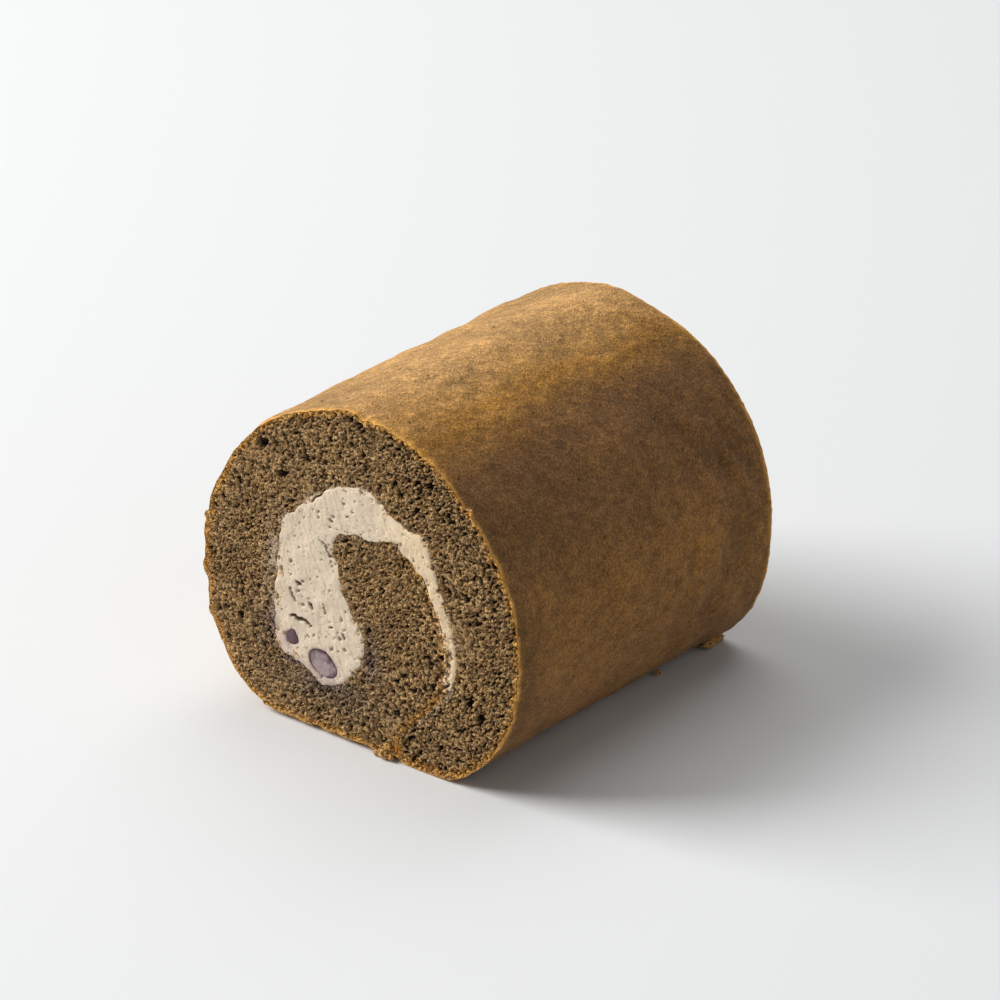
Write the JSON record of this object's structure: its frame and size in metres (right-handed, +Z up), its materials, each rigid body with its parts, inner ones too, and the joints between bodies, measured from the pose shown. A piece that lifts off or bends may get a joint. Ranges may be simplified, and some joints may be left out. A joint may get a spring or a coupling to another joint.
{
  "type": "swiss roll cake",
  "caption": "Short length of brown sponge sheet rolled once round a pale cream filling with sweet beans, cut flat at both ends and resting on a flat underside.",
  "frame": {"origin": "middle of the bottom of the bounding box, on the surface the roll rests on", "axes": "+Z up; Y along the roll's axis, -Y out of the front cut face; +X to the right seen from the front, towards the seam's side"},
  "size_m": [0.0942, 0.098, 0.0852],
  "materials": {
    "sponge": "dry, open brown crumb with a darker suede-like crust",
    "cream": "smooth, slightly glossy beige cream with small bubbles and knife marks",
    "bean": "moist purple-grey cut bean with a dark rim"
  },
  "bodies": {
    "root": {"sponge": "sponge", "cream": "cream", "bean_front_large": "bean", "bean_front_small": "bean", "bean_rear_large": "bean", "bean_rear_small": "bean"}
  },
  "joints": []
}
